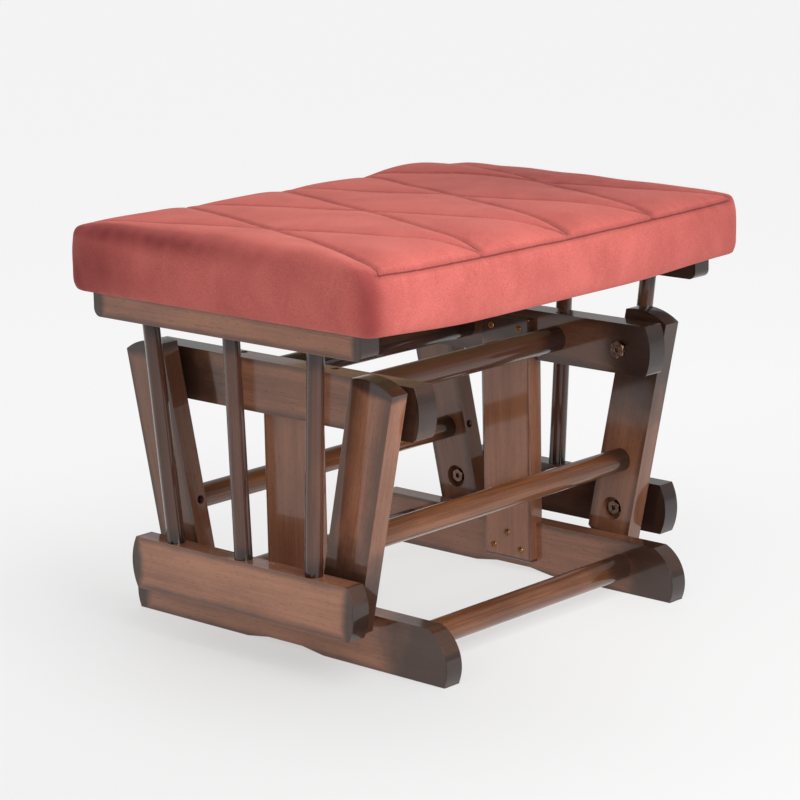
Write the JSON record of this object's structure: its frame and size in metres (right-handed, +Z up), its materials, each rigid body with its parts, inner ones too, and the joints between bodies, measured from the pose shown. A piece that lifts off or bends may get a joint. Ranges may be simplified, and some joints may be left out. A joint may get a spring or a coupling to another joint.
{
  "type": "glider ottoman",
  "caption": "Footstool whose quilted cushion glides fore and aft on swinging wooden links hung from a standing base.",
  "frame": {"origin": "on the floor, in the middle of the base", "axes": "+X across to the right side rail along the stretchers, +Y the glide direction towards the rear, +Z up"},
  "size_m": [0.538, 0.4055, 0.403],
  "materials": {
    "walnut": "walnut-brown glazed lacquer, satin",
    "dark_steel": "antique bronze plated",
    "bright_steel": "ground bright",
    "brass": "turned",
    "plywood": "sanded, unfinished",
    "foam": "open foam",
    "velvet": "short-pile velvet, dusty rose"
  },
  "bodies": {
    "base": {"base_rail_left": "walnut", "base_rail_right": "walnut", "base_stretcher_front": "walnut", "base_stretcher_rear": "walnut", "post_left": "walnut", "post_right": "walnut", "hanger_rail_left": "walnut", "hanger_rail_right": "walnut", "hanger_stretcher_front": "walnut", "hanger_stretcher_rear": "walnut", "post_screws": "dark_steel", "stretcher_lock_screws": "dark_steel", "upper_pivot_bolts": "dark_steel", "upper_pivot_sleeves": "bright_steel"},
    "front_links": {"link_front_left": "walnut", "link_front_right": "walnut", "link_stretcher_front": "walnut", "link_screws_front": "dark_steel", "bearing_rings_front": "bright_steel", "bearing_balls_front": "bright_steel"},
    "rear_links": {"link_rear_left": "walnut", "link_rear_right": "walnut", "link_stretcher_rear": "walnut", "link_screws_rear": "dark_steel", "bearing_rings_rear": "bright_steel", "bearing_balls_rear": "bright_steel", "lower_pivot_bolts_rear": "dark_steel", "lower_pivot_sleeves_rear": "bright_steel"},
    "seat": {"lower_pivot_bolts_front": "dark_steel", "lower_pivot_sleeves_front": "bright_steel", "pivot_inserts": "brass", "carrier_rail_left": "walnut", "carrier_rail_right": "walnut", "spindle_left_front": "walnut", "spindle_left_middle": "walnut", "spindle_left_rear": "walnut", "spindle_right_front": "walnut", "spindle_right_middle": "walnut", "spindle_right_rear": "walnut", "seat_rail_left": "walnut", "seat_rail_right": "walnut", "seat_board": "plywood", "seat_board_screws": "dark_steel", "cushion_foam": "foam", "cushion_cover": "velvet"}
  },
  "joints": [
    {"name": "front_swing", "type": "hinge", "parent": "base", "child": "front_links", "pos_m": [0, -0.1405, 0.2465], "axis": [1, 0, 0], "range_deg": [-12, 12]},
    {"name": "rear_swing", "type": "hinge", "parent": "base", "child": "rear_links", "pos_m": [0, 0.1405, 0.2465], "axis": [1, 0, 0], "range_deg": [-12, 12]},
    {"name": "seat_tilt", "type": "hinge", "parent": "front_links", "child": "seat", "pos_m": [0, -0.1035, 0.0735], "axis": [1, 0, 0], "range_deg": [-16.2, 16.2]}
  ],
  "couplings": [
    {"joint": "rear_swing", "follows": "front_swing", "ratio": 1},
    {"joint": "seat_tilt", "follows": "front_swing", "ratio": -1.35}
  ]
}
